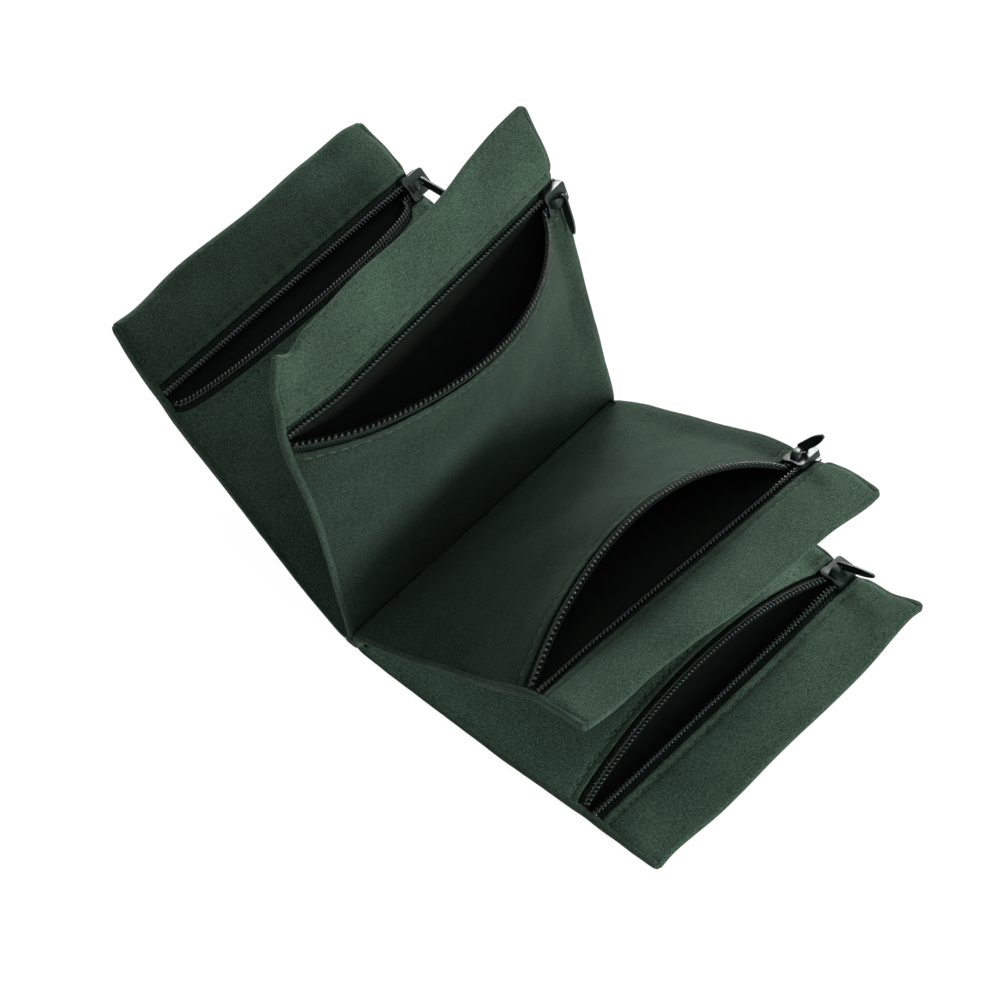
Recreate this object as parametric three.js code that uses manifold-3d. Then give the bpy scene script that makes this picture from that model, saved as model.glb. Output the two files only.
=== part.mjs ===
import * as THREE from "three";
import { mergeVertices } from "three/addons/utils/BufferGeometryUtils.js";
import Module from "manifold-3d";

// A book-style jewelry pouch: an outer cover and an inner leaf, each a sheet of doubled suede,
// lie one in the other and are sewn together along a spine, which gives four wings.
// Each wing is a flat pocket with a zip across it, a hem's width in from its folded outer edge.
// Millimetres. X runs along the spine, Z is up and the pouch stands on Z = 0.

// Cloth
const spineLength = 120;
const coverReach = 118; // spine to folded edge, on the two outer wings
const leafReach = 114; // the same on the two inner wings
const ply = 0.9; // thickness of one suede ply
const clearance = 0.3; // between pieces that touch on the real pouch
const seamWidth = 2.1; // rolled side seam
const seamRound = 0.8; // rounding of the roll
const seamTip = 0.45; // share of the seam's width that is left at the folded corner
const seamDip = 4.6; // half the length of the far seam's flat place under the parked slider
const dipSlope = 1.5;
const dipTop = 0.1; // seam above the back ply there
const cornerRadius = 2.4;
const rootBead = 0.7; // radius of the turned edge that each wing swings on
const panelRoot = 4; // the front panel begins this far out from the spine
const panelPower = 1.5; // how late, from spine to zip, the front panel rises to its gape
const hemWidth = 27.5; // folded edge to the zip's centre line

// Zip
const coilWidth = 2.1;
const coilHeight = 1.4;
const toothPitch = 2;
const toothDepth = 0.7;
const tapeThickness = 0.4;
const tapeShown = 2.6; // tape seen between the coil and the suede
const tapeHeld = 4; // tape under the suede, caught by the topstitching
const zipPlay = 0.35; // between the slider and what runs through it

// Slider and pull tab
const sliderLength = 9;
const sliderNose = 4.2; // half width at the nose
const noseRound = 1.6;
const noseDip = 0.5; // hollow in the middle of the nose
const shoulder = 3.4; // from the nose to where the flanges begin
const tailRound = 1.2;
const plateThickness = 0.65;
const flangeThickness = 0.5;
const postWidth = 0.8;
const postLength = 2.6;
const postInset = 0.6; // from the nose to the post
const bailNose = 2.8; // width where the bail leaves the nose
const bailWidth = 1; // width where the tab hangs
const bailThickness = 0.8;
const bailFront = 4.5; // the bail's foot at the nose, before the tab
const bailBehind = 1.9; // and its foot at the tail, behind the tab
const bailNeck = 2.8; // length of its slope up from the nose
const bailRound = 0.9;
const tabThickness = 0.7;
const tabLength = 14; // eye centre to tip
const tabWidth = 3.1;
const tabTip = 1; // width at the point
const tabRim = 0.65; // metal round the eye
const tabTaper = 3; // length over which the blade widens, and narrows again
const eyePlay = 0.2;
const tabSeat = 0.9; // the tab hangs this far behind the slider's middle
const sliderPast = 0.8; // how far the parked slider stands out past the side seam
const sliderTravel = 90;
const sliderUnder = 0.5; // between the slider and the back ply
const mouthEnd = 1; // the mouth has closed this far before the slider

// Spine
const spineWidth = 3.2;
const spineHeight = 2.4;
const coverRise = 0.35; // the raised cover's hinge above the flat one's
const leafSpread = 0.4; // each leaf's turned edge from the middle of the spine

// How each wing stands. Lean is the wing's angle above the table at the spine, curl is what the
// sheet's arc adds to it by the folded edge, and twist is what the near end has more than the
// middle and the far end less. The mouth is the front panel's gape: lift off the back ply and
// draw towards the spine, as shares of the panel's width, and how early it opens from the near
// end and how late towards the slider. Tab is the pull tab's turn from upright towards the
// folded edge. Angles are in degrees.
const wings = [
  {
    name: "cover_right",
    side: -1,
    reach: coverReach,
    hinge: "flat",
    lean: 0,
    curl: 0,
    twist: 0,
    mouth: { lift: 0.149, draw: 0.039, rise: 1.3, fall: 0.9 },
    tab: 63,
  },
  {
    name: "leaf_right",
    side: -1,
    reach: leafReach,
    hinge: "leaf",
    lean: 36,
    curl: -15.6,
    twist: 2,
    mouth: { lift: 0.266, draw: 0.017, rise: 1.05, fall: 0.95 },
    tab: 55,
  },
  {
    name: "leaf_left",
    side: 1,
    reach: leafReach,
    hinge: "leaf",
    lean: 80.5,
    curl: -15,
    twist: 2.5,
    mouth: { lift: 0.289, draw: 0.046, rise: 1.05, fall: 0.9 },
    tab: -93,
  },
  {
    name: "cover_left",
    side: 1,
    reach: coverReach,
    hinge: "cover",
    lean: 22.7,
    curl: 21,
    twist: 3.5,
    mouth: { lift: 0.055, draw: 0.055, rise: 0.7, fall: 0.5 },
    tab: -48,
  },
];

// Heights above the middle of the back ply
const innerFace = ply / 2;
const sliderFloor = innerFace + sliderUnder;
const tapeBottom = sliderFloor + plateThickness + zipPlay;
const tapeTop = tapeBottom + tapeThickness;
const hemBottom = tapeTop + clearance;
const hemTop = hemBottom + ply;
const coilBottom = tapeTop + clearance;
const coilTop = coilBottom + coilHeight;
const sliderCeiling = coilTop + zipPlay;
const sliderTop = sliderCeiling + plateThickness;

// Distances from the zip's centre line
const rowInner = postWidth / 2 + zipPlay;
const rowOuter = rowInner + coilWidth;
const flangeInner = rowOuter + zipPlay;
const flangeOuter = flangeInner + flangeThickness;
const clothEdge = rowOuter + tapeShown;
const tapeOuter = clothEdge + tapeHeld;

// Distances along the spine from its middle
const halfSpine = spineLength / 2;
const seamInner = halfSpine - seamWidth;
const pocketHalf = seamInner - clearance;
const sliderRest = halfSpine + sliderPast - sliderLength / 2;
const mouthFar = sliderRest - sliderLength / 2 - mouthEnd;
const mouthNear = -pocketHalf;

// Faces along each piece
const panelRuns = 22;
const backRuns = 8;
const seamRuns = 7;

// Where the wings swing and how thick their turned edges are: the covers beside the spine's
// foot, one of them flat on the table, and the leaves over the spine's top
const coverY = spineWidth / 2 + clearance + rootBead;
const hinges = {
  flat: { y: coverY, z: ply / 2, bead: ply / 2 },
  cover: { y: coverY, z: ply / 2 + coverRise, bead: rootBead },
  leaf: { y: rootBead + leafSpread, z: spineHeight + clearance + rootBead, bead: rootBead },
};

const degrees = THREE.MathUtils.degToRad;
const mix = THREE.MathUtils.lerp;

const materials = {
  suede: new THREE.MeshStandardMaterial({ color: 0x23402f, roughness: 0.95 }),
  tape: new THREE.MeshStandardMaterial({ color: 0x14241c, roughness: 0.85 }),
  coil: new THREE.MeshStandardMaterial({ color: 0x0d1613, roughness: 0.35 }),
  metal: new THREE.MeshStandardMaterial({ color: 0x2b3f37, roughness: 0.4, metalness: 0.6 }),
};

const wasm = await Module();
wasm.setup();

function solidOf(geometry) {
  const bare = new THREE.BufferGeometry();
  bare.setAttribute("position", geometry.getAttribute("position"));
  if (geometry.index) bare.setIndex(geometry.index);
  const merged = mergeVertices(bare, 1e-4);
  return new wasm.Manifold(
    new wasm.Mesh({
      numProp: 3,
      vertProperties: new Float32Array(merged.attributes.position.array),
      triVerts: new Uint32Array(merged.index.array),
    }),
  );
}

function geometryOf(solid) {
  const mesh = solid.getMesh();
  const geometry = new THREE.BufferGeometry();
  geometry.setAttribute("position", new THREE.BufferAttribute(mesh.vertProperties, 3));
  geometry.setIndex(new THREE.BufferAttribute(mesh.triVerts, 1));
  return geometry;
}

// Count + 1 evenly spread values
function steps(from, to, count) {
  return Array.from({ length: count + 1 }, (_, i) => mix(from, to, i / count));
}

// Places along the front panel from one side seam to the other, closer together near the
// seams and with one where the mouth ends at the parked slider
function panelStations(wing) {
  const spread = steps(0, Math.PI, panelRuns).map((a) => -pocketHalf * Math.cos(a));
  return [...spread, wing.side * mouthFar].sort((a, b) => a - b);
}

// Triangles across a ring of points that lies in a plane, each turned as the ring is
function across(ring) {
  const normal = new THREE.Vector3();
  ring.forEach((p, i) => normal.add(p.clone().cross(ring[(i + 1) % ring.length])));
  normal.normalize();
  const u = ring[1].clone().sub(ring[0]).projectOnPlane(normal).normalize();
  const v = normal.cross(u);
  const flat = ring.map((p) => new THREE.Vector2(p.dot(u), p.dot(v)));
  return THREE.ShapeUtils.triangulateShape(flat, []);
}

// A closed skin through rings of equally many points, with flat ends
function skin(rings) {
  const size = rings[0].length;
  const points = rings.flat().flatMap((p) => [p.x, p.y, p.z]);
  const faces = [];
  for (let r = 0; r + 1 < rings.length; r++) {
    for (let i = 0; i < size; i++) {
      const a = r * size + i;
      const b = r * size + ((i + 1) % size);
      faces.push(a, b, b + size, a, b + size, a + size);
    }
  }
  const last = (rings.length - 1) * size;
  across(rings[0]).forEach(([a, b, c]) => faces.push(a, c, b));
  across(rings.at(-1)).forEach(([a, b, c]) => faces.push(last + a, last + b, last + c));
  const geometry = new THREE.BufferGeometry();
  geometry.setAttribute("position", new THREE.Float32BufferAttribute(points, 3));
  geometry.setIndex(faces);
  return outwards(geometry);
}

// The geometry with its faces pointing out
function outwards(geometry) {
  const p = geometry.getAttribute("position");
  const index = geometry.index.array;
  const corner = (i) => new THREE.Vector3().fromBufferAttribute(p, index[i]);
  let volume = 0;
  for (let i = 0; i < index.length; i += 3) {
    volume += corner(i).dot(corner(i + 1).cross(corner(i + 2)));
  }
  if (volume < 0) geometry.setIndex(Array.from(index).reverse());
  return geometry;
}

// A sheet in its wing's own frame: x along the spine, s out from it, n off its front.
// Its two side edges are arcs, and straight lines along the spine's direction join them.
function makeSheet(wing) {
  const bend = degrees(wing.curl) / wing.reach;
  const near = wing.side > 0 ? -halfSpine : halfSpine;
  const edge = (start, s) => {
    const angle = start + bend * s;
    const straight = Math.abs(bend) < 1e-9;
    return {
      y: straight ? s * Math.cos(start) : (Math.sin(angle) - Math.sin(start)) / bend,
      z: straight ? s * Math.sin(start) : (Math.cos(start) - Math.cos(angle)) / bend,
      angle,
    };
  };
  const frame = (x, s) => {
    const t = (x + near) / (2 * near);
    const here = edge(degrees(wing.twist), s);
    const there = edge(-degrees(wing.twist), s);
    const along = new THREE.Vector3(2 * near, here.y - there.y, here.z - there.z);
    const angle = mix(there.angle, here.angle, t);
    const out = new THREE.Vector3(0, Math.cos(angle), Math.sin(angle));
    along.multiplyScalar(1 / along.x).normalize();
    return {
      point: new THREE.Vector3(x, mix(there.y, here.y, t), mix(there.z, here.z, t)),
      along,
      normal: along.clone().cross(out).normalize(),
    };
  };
  const place = (x, s, n) => {
    const f = frame(x, s);
    return f.point.addScaledVector(f.normal, n);
  };
  return { frame, place };
}

// How far the mouth gapes at x, from 0 at its ends to 1 where it is widest
function gape(wing, x) {
  const { rise, fall } = wing.mouth;
  const along = x * wing.side;
  const t = THREE.MathUtils.clamp((along - mouthNear) / (mouthFar - mouthNear), 0, 1);
  const widest = rise / (rise + fall);
  const peak = widest ** rise * (1 - widest) ** fall;
  return (t ** rise * (1 - t) ** fall) / peak;
}

// Places a point of the front panel, or of what is sewn to its zip edge. Between two of the
// panel's stations it goes straight, so that tape, coil and cloth keep their distance.
function panelPlace(wing, sheet) {
  const edge = wing.reach - hemWidth;
  const stations = panelStations(wing);
  const raised = (x, s, n) => {
    const share = Math.max(s / edge, 0) ** panelPower;
    const open = gape(wing, x);
    const lift = wing.mouth.lift * edge * open * share;
    const draw = wing.mouth.draw * edge * Math.sqrt(open) * share;
    return sheet.place(x, s - draw, n + lift);
  };
  return (x, s, n) => {
    const next = Math.max(stations.findIndex((station) => station >= x), 1);
    const [from, to] = [stations[next - 1], stations[next]];
    return raised(from, s, n).lerp(raised(to, s, n), (x - from) / (to - from));
  };
}

// Underside of the front ply at s: it climbs from the spine to lie level over the zip tape
function frontBottom(wing, s) {
  const overTape = wing.reach - hemWidth - tapeOuter;
  const t = THREE.MathUtils.clamp((s - panelRoot) / (overTape - panelRoot), 0, 1);
  return mix(innerFace + clearance, hemBottom, t);
}

// Back ply and hem: one cut piece, folded over at the outer edge and ending beside the zip
function backPanel(wing, sheet) {
  const foldOuter = (hemTop + innerFace) / 2;
  const foldInner = foldOuter - ply;
  const foldMiddle = hemTop - foldOuter;
  const foldStart = wing.reach - foldOuter;
  const hemEnd = wing.reach - hemWidth + clothEdge;
  const { bead } = hinges[wing.hinge];
  const outline = [];
  const around = (s, n, radius, from, to, count) => {
    for (const a of steps(degrees(from), degrees(to), count)) {
      outline.push([s + radius * Math.cos(a), n + radius * Math.sin(a)]);
    }
  };
  around(0, 0, bead, 90, 270, 5);
  const line = wing.reach - hemWidth;
  const runs = [...steps(2 * bead, line, 6), ...steps(line, foldStart, 2).slice(1)];
  runs.forEach((s) => outline.push([s, -innerFace]));
  around(foldStart, foldMiddle, foldOuter, -60, 90, 4);
  const hemRuns = steps(foldStart, hemEnd, 2).slice(1);
  hemRuns.forEach((s) => outline.push([s, hemTop]));
  hemRuns.reverse().forEach((s) => outline.push([s, hemBottom]));
  around(foldStart, foldMiddle, foldInner, 90, -90, 3);
  runs.reverse().slice(1).forEach((s) => outline.push([s, innerFace]));
  const rings = steps(-pocketHalf, pocketHalf, backRuns).map((x) =>
    outline.map(([s, n]) => sheet.place(x, s, n)),
  );
  return skin(rings);
}

// Front panel: from the spine to the zip, raised where the mouth gapes
function frontPanel(wing, sheet) {
  const place = panelPlace(wing, sheet);
  const edge = wing.reach - hemWidth - clothEdge;
  const runs = [...steps(panelRoot, edge - tapeHeld, 5), edge];
  const outline = [
    ...runs.map((s) => [s, frontBottom(wing, s)]),
    ...runs.toReversed().map((s) => [s, frontBottom(wing, s) + ply]),
  ];
  const rings = panelStations(wing).map((x) =>
    outline.map(([s, n]) => place(x, s, n)),
  );
  return skin(rings);
}

// Top of a side seam: level with the front ply, but pressed flat where the slider parks over it
function seamTop(wing, s, end) {
  const full = frontBottom(wing, s) + ply;
  if (end !== wing.side) return full;
  const past = Math.abs(s - wing.reach + hemWidth) - seamDip;
  return mix(innerFace + dipTop, full, THREE.MathUtils.clamp(past / dipSlope, 0, 1));
}

// Side seam: both plies turned in, stitched and rolled, rounded off at the folded corner
function sideSeam(wing, sheet, end) {
  const stop = wing.reach - clearance;
  const roundFrom = stop - cornerRadius;
  const line = wing.reach - hemWidth;
  const dips = [seamDip, seamDip + dipSlope].flatMap((d) => [line - d, line + d]);
  const straight = [...steps(panelRoot, roundFrom, seamRuns), ...dips].sort((a, b) => a - b);
  const runs = [...straight, ...steps(roundFrom, stop, 3).slice(1)];
  const section = (s) => {
    const top = seamTop(wing, s, end);
    const round = Math.min(seamRound, (top + innerFace) / 3);
    const past = Math.max(s - roundFrom, 0) / cornerRadius;
    const width = seamWidth * mix(seamTip, 1, Math.sqrt(Math.max(1 - past ** 2, 0)));
    return [
      [0, -innerFace],
      [width - round, -innerFace],
      [width, round - innerFace],
      [width, top - round],
      [width - round, top],
      [0, top],
    ];
  };
  const rings = runs.map((s) =>
    section(s).map(([u, n]) => sheet.place(end * (seamInner + u), s, n)),
  );
  return skin(rings);
}

// Zip tape on one side of the mouth; away is +1 towards the hem and -1 towards the panel
function zipTape(wing, place, away) {
  const line = wing.reach - hemWidth;
  const outline = [
    [line + away * rowInner, tapeBottom],
    [line + away * tapeOuter, tapeBottom],
    [line + away * tapeOuter, tapeTop],
    [line + away * rowInner, tapeTop],
  ];
  const rings = panelStations(wing).map((x) =>
    outline.map(([s, n]) => place(x, s, n)),
  );
  return skin(rings);
}

// A row of zip teeth: its inner edge goes in and out once a tooth, and the two rows of a zip
// are half a tooth apart, so that each tooth has its gap
function zipCoil(wing, place, away) {
  const line = wing.reach - hemWidth;
  const count = 2 * Math.floor(spineLength / toothPitch / 2 - 2);
  const length = count * toothPitch;
  const outline = (tip) => {
    const inner = line + away * (tip ? rowInner : rowInner + toothDepth);
    const outer = line + away * rowOuter;
    return [
      [inner, coilBottom],
      [outer, coilBottom],
      [outer, coilTop],
      [inner, coilTop],
    ];
  };
  const rings = steps(-length / 2, length / 2, 2 * count).map((x, i) =>
    outline(i % 2 === (away > 0 ? 0 : 1)).map(([s, n]) => place(x, s, n)),
  );
  return skin(rings);
}

function box(x0, x1, y0, y1, z0, z1) {
  const geometry = new THREE.BoxGeometry(x1 - x0, y1 - y0, z1 - z0);
  return solidOf(geometry.translate((x0 + x1) / 2, (y0 + y1) / 2, (z0 + z1) / 2));
}

// The shape, drawn in its first two axes, extruded by depth either side of its plane
function plate(shape, depth) {
  const geometry = new THREE.ExtrudeGeometry(shape, {
    depth,
    bevelEnabled: false,
    curveSegments: 5,
  });
  return geometry.translate(0, 0, -depth / 2);
}

const eyeRadius = Math.hypot(bailWidth, bailThickness) / 2 + eyePlay;
const tabHead = eyeRadius + tabRim;
const pivotHeight = sliderTop + tabHead + clearance;

// Slider: two plates joined by a post at the nose, with flanges that hold the coils in.
// Its x points to the tail, and the bail stands on the top plate.
function slider() {
  const half = sliderLength / 2;
  const waist = shoulder - half;
  const outline = new THREE.Shape();
  outline.moveTo(half, tailRound - flangeOuter);
  outline.lineTo(half, flangeOuter - tailRound);
  outline.quadraticCurveTo(half, flangeOuter, half - tailRound, flangeOuter);
  outline.lineTo(waist, flangeOuter);
  outline.quadraticCurveTo((waist + noseRound - half) / 2, sliderNose, noseRound - half, sliderNose);
  outline.quadraticCurveTo(-half, sliderNose, -half, sliderNose - noseRound);
  outline.lineTo(noseDip - half, 0);
  outline.lineTo(-half, noseRound - sliderNose);
  outline.quadraticCurveTo(-half, -sliderNose, noseRound - half, -sliderNose);
  outline.quadraticCurveTo((waist + noseRound - half) / 2, -sliderNose, waist, -flangeOuter);
  outline.lineTo(half - tailRound, -flangeOuter);
  outline.quadraticCurveTo(half, -flangeOuter, half, tailRound - flangeOuter);
  const height = sliderTop - sliderFloor;
  const block = plate(outline, height).translate(0, 0, (sliderTop + sliderFloor) / 2);
  const past = sliderLength;
  const channelFloor = sliderFloor + plateThickness;
  const channel = box(-past, past, -flangeInner, flangeInner, channelFloor, sliderCeiling);
  const slotTop = tapeTop + zipPlay;
  const slot = box(-past, past, -past, past, channelFloor, slotTop);
  const post = box(
    postInset - half,
    postInset - half + postLength,
    -postWidth / 2,
    postWidth / 2,
    sliderFloor + plateThickness / 2,
    sliderTop - plateThickness / 2,
  );
  const body = solidOf(block).subtract(channel).subtract(slot).add(post);
  return geometryOf(body.add(bail()));
}

// Bail: a strap that rises broad from the nose, narrows to where the tab hangs on it and drops
// to the plate at the tail. Its side view and its view from above, each cut through, leave it.
function bail() {
  const foot = sliderTop - plateThickness / 2;
  const top = pivotHeight + bailThickness / 2;
  const under = pivotHeight - bailThickness / 2;
  const start = tabSeat - bailFront;
  const end = tabSeat + bailBehind;
  const inside = end - bailThickness;
  const strap = new THREE.Shape();
  strap.moveTo(start, foot);
  strap.quadraticCurveTo(start + bailRound / 2, top, start + bailNeck, top);
  strap.lineTo(end - bailRound, top);
  strap.quadraticCurveTo(end, top, end, top - bailRound);
  strap.lineTo(end, foot);
  strap.lineTo(inside, foot);
  strap.lineTo(inside, under - bailRound / 2);
  strap.quadraticCurveTo(inside, under, inside - bailRound / 2, under);
  strap.lineTo(start + bailNeck, under);
  strap.quadraticCurveTo(start + bailThickness + bailRound, under, start + bailThickness, foot);
  const sideView = solidOf(plate(strap, bailNose).rotateX(Math.PI / 2));
  const neckEnd = tabSeat - tabThickness / 2 - clearance;
  const above = new THREE.Shape();
  above.moveTo(start - 1, -bailNose / 2);
  above.lineTo(start + bailNeck / 2, -bailNose / 2);
  above.quadraticCurveTo(start + bailNeck, -bailNose / 2, neckEnd, -bailWidth / 2);
  above.lineTo(end + 1, -bailWidth / 2);
  above.lineTo(end + 1, bailWidth / 2);
  above.lineTo(neckEnd, bailWidth / 2);
  above.quadraticCurveTo(start + bailNeck, bailNose / 2, start + bailNeck / 2, bailNose / 2);
  above.lineTo(start - 1, bailNose / 2);
  return sideView.intersect(solidOf(plate(above, 2 * top + 2)));
}

// Pull tab: a flat blade with its eye at the origin, upright, lying across the zip
function pullTab() {
  const neck = flangeOuter + tabRim;
  const half = tabWidth / 2;
  const shape = new THREE.Shape();
  shape.moveTo(-tabHead, 0);
  shape.absarc(0, 0, tabHead, Math.PI, 2 * Math.PI, false);
  shape.lineTo(tabHead, neck);
  shape.quadraticCurveTo(half, neck + tabTaper / 2, half, neck + tabTaper);
  shape.quadraticCurveTo(half, tabLength - tabTaper, tabTip / 2, tabLength);
  shape.lineTo(-tabTip / 2, tabLength);
  shape.quadraticCurveTo(-half, tabLength - tabTaper, -half, neck + tabTaper);
  shape.quadraticCurveTo(-half, neck + tabTaper / 2, -tabHead, neck);
  shape.closePath();
  const eye = new THREE.Path();
  eye.absarc(0, 0, eyeRadius, 0, 2 * Math.PI, true);
  shape.holes.push(eye);
  return plate(shape, tabThickness).rotateX(Math.PI / 2).rotateZ(Math.PI / 2);
}

// The ridge where the sewn folds of cover and leaf lie on each other
function spineSeam() {
  const half = spineWidth / 2;
  const shape = new THREE.Shape();
  shape.moveTo(-half, 0);
  shape.lineTo(half, 0);
  shape.lineTo(half, spineHeight / 2);
  shape.quadraticCurveTo(half, spineHeight, half / 2, spineHeight);
  shape.lineTo(-half / 2, spineHeight);
  shape.quadraticCurveTo(-half, spineHeight, -half, spineHeight / 2);
  return plate(shape, spineLength).rotateX(Math.PI / 2).rotateZ(Math.PI / 2);
}

function named(name, geometry, material) {
  const mesh = new THREE.Mesh(geometry, material);
  mesh.name = name;
  return mesh;
}

// The slider parked by the far side seam, with the tab on its bail, in the wing's frame.
// It is square to the sheet where it is half way along its travel.
function sliderGroup(wing, sheet) {
  const line = wing.reach - hemWidth;
  const middle = wing.side * (sliderRest - sliderTravel / 2);
  const { along, normal } = sheet.frame(middle, line);
  const tail = along.multiplyScalar(wing.side);
  const across = normal.clone().cross(tail);
  const group = new THREE.Group();
  group.setRotationFromMatrix(new THREE.Matrix4().makeBasis(tail, across, normal));
  group.position.copy(sheet.frame(wing.side * sliderRest, line).point);
  group.add(named(wing.name + "_slider", slider(), materials.metal));
  const tab = named(wing.name + "_pull_tab", pullTab(), materials.metal);
  tab.position.set(tabSeat, 0, pivotHeight);
  tab.rotation.x = -degrees(wing.tab) * wing.side;
  group.add(tab);
  return group;
}

function wingGroup(wing) {
  const sheet = makeSheet(wing);
  const hinge = hinges[wing.hinge];
  const swing = new THREE.Group();
  swing.position.set(0, hinge.y, hinge.z);
  swing.rotation.x = degrees(wing.lean);
  const onPanel = panelPlace(wing, sheet);
  const { suede, tape, coil } = materials;
  swing.add(
    named(wing.name + "_back", backPanel(wing, sheet), suede),
    named(wing.name + "_front_panel", frontPanel(wing, sheet), suede),
    named(wing.name + "_near_seam", sideSeam(wing, sheet, -wing.side), suede),
    named(wing.name + "_far_seam", sideSeam(wing, sheet, wing.side), suede),
    named(wing.name + "_hem_tape", zipTape(wing, sheet.place, 1), tape),
    named(wing.name + "_panel_tape", zipTape(wing, onPanel, -1), tape),
    named(wing.name + "_hem_coil", zipCoil(wing, sheet.place, 1), coil),
    named(wing.name + "_panel_coil", zipCoil(wing, onPanel, -1), coil),
    sliderGroup(wing, sheet),
  );
  const side = new THREE.Group();
  side.rotation.z = wing.side > 0 ? 0 : Math.PI;
  side.add(swing);
  return side;
}

const pouch = new THREE.Group();
pouch.add(named("spine_seam", spineSeam(), materials.suede));
wings.forEach((wing) => pouch.add(wingGroup(wing)));

export default pouch;
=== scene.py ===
import math

import bpy
from mathutils import Matrix, Vector, noise


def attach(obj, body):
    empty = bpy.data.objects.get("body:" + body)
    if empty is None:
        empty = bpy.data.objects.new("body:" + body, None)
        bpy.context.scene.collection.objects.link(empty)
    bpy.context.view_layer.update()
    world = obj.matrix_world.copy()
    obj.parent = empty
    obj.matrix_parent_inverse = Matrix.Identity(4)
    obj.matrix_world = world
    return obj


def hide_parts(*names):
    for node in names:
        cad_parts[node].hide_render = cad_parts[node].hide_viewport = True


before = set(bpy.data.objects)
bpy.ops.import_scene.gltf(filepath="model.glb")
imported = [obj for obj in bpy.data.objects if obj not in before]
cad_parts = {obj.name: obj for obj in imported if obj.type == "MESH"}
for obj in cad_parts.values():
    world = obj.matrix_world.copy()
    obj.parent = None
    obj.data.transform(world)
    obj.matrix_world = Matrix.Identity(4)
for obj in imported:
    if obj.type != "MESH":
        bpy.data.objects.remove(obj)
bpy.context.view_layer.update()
print("frame loaded")

# Everything below is in millimetres until toWorld turns it to metres.
# x runs along the spine, s out from the spine over a wing, n off the wing's front.

millimetre = 0.001

pouch = {
    "halfSpine": 60.0,
    "ply": 0.9,
    "hemWidth": 27.5,  # folded edge to the zip's centre line
    "clothHalf": 58.7,  # how far the sheets reach into the side seams
    "seamWidth": 2.1,
    "foldRadius": 1.05,  # middle of the ply round the folded edge
    "panelRoot": 1.6,  # where the front ply leaves the spine
    "panelPower": 1.5,  # how late, from spine to zip, the front panel rises to its gape
}

# Distances from the zip's centre line, and levels over the middle of the back ply
zipper = {
    "clothEdge": 5.2,  # the suede's turned edge
    "lip": 0.2,  # how far that edge turns on towards the zip
    "lipDrop": 0.18,  # and down to the tape
    "stitchIn": 2.2,  # topstitching, from the suede's edge
    "tapeInner": 0.95,
    "tapeHeld": 9.45,  # where the front ply comes down to the tape
    "tapeOuter": 11.6,
    "tapeLevel": 2.15,
    "tapeThickness": 0.4,
    "tapeRows": 12,
    "clothLevel": 3.1,
    "coilBottom": 2.65,
    "coilTop": 4.05,
    "mouthNear": -57.6,  # ends of the open mouth, along the spine
    "mouthFar": 50.8,
}

# Lean is the wing's angle over the table, curl what its arc adds by the folded edge, and twist
# what the near end has more than the middle. Lift and draw are how far the front panel's mouth
# rises and is drawn in, rise and fall how early it opens and how late it closes. Near and far
# say how far the cloth of the two side edges strays half way out, at the zip and at the corner:
# along the spine, out and off the sheet. Edge is how the folded edge wanders out and in, by the
# place along it.
wings = [
    {
        "name": "cover_right",
        "side": -1,
        "reach": 118.0,
        "lean": 0.0,
        "curl": 0.0,
        "twist": 0.0,
        "hinge": (2.6, 0.45),
        "lift": 13.0,
        "draw": 3.5,
        "rise": 1.2,
        "fall": 1.1,
        "near": ((0.0, 0.0, 0.0), (1.0, 0.0, 0.0), (2.0, -0.3, 0.0)),
        "far": ((0.0, 0.0, 0.8), (1.0, 0.0, 0.0), (2.0, 0.6, 6.5)),
        "edge": ((-60, 0.0), (-52, -0.6), (-30, 0.5), (0, -0.3), (34, 0.6), (54, -0.4), (60, 0.4)),
        "seed": 3.7,
    },
    {
        "name": "leaf_right",
        "side": -1,
        "reach": 114.0,
        "lean": 36.0,
        "curl": -15.6,
        "twist": 2.0,
        "hinge": (1.1, 3.4),
        "lift": 23.0,
        "draw": 1.5,
        "rise": 1.05,
        "fall": 0.95,
        "near": ((0.0, 0.0, -4.5), (-2.0, 0.0, -1.0), (-4.0, -3.6, -1.5)),
        "far": ((0.0, 0.0, 0.6), (0.0, 0.0, 0.0), (0.5, -1.0, -3.2)),
        "edge": ((-60, 0.0), (-50, 0.8), (-28, -0.4), (5, 0.6), (36, -0.5), (54, 0.5), (60, 0.0)),
        "seed": 11.3,
    },
    {
        "name": "leaf_left",
        "side": 1,
        "reach": 114.0,
        "lean": 80.5,
        "curl": -15.0,
        "twist": 2.5,
        "hinge": (1.1, 3.4),
        "lift": 25.0,
        "draw": 4.0,
        "rise": 1.05,
        "fall": 0.9,
        "near": ((-1.2, 0.0, -1.5), (-3.6, 0.0, -3.0), (2.2, 1.6, 0.0)),
        "far": ((0.0, 0.0, -0.4), (0.5, 0.0, 0.0), (1.5, 2.6, -0.6)),
        "edge": ((-60, 0), (-53, -3.6), (-45, -0.6), (-20, 0.5), (12, -0.5), (38, 0.7), (60, 0)),
        "seed": 19.9,
    },
    {
        "name": "cover_left",
        "side": 1,
        "reach": 118.0,
        "lean": 22.7,
        "curl": 21.0,
        "twist": 3.5,
        "hinge": (2.6, 0.8),
        "lift": 5.0,
        "draw": 5.0,
        "rise": 0.7,
        "fall": 0.5,
        "near": ((0.0, 0.0, 3.0), (0.3, 0.0, 0.0), (0.6, 0.4, 0.8)),
        "far": ((0.0, 0.0, 0.5), (-1.5, 0.0, 0.0), (-3.0, -2.2, -2.4)),
        "edge": ((-60, 0.0), (-50, -0.8), (-25, 0.6), (8, -0.6), (34, 0.4), (52, 1.2), (60, 0.0)),
        "seed": 27.1,
    },
]


def clamp(value, low, high):
    return max(low, min(high, value))


def mix(a, b, t):
    return a + (b - a) * t


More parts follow.
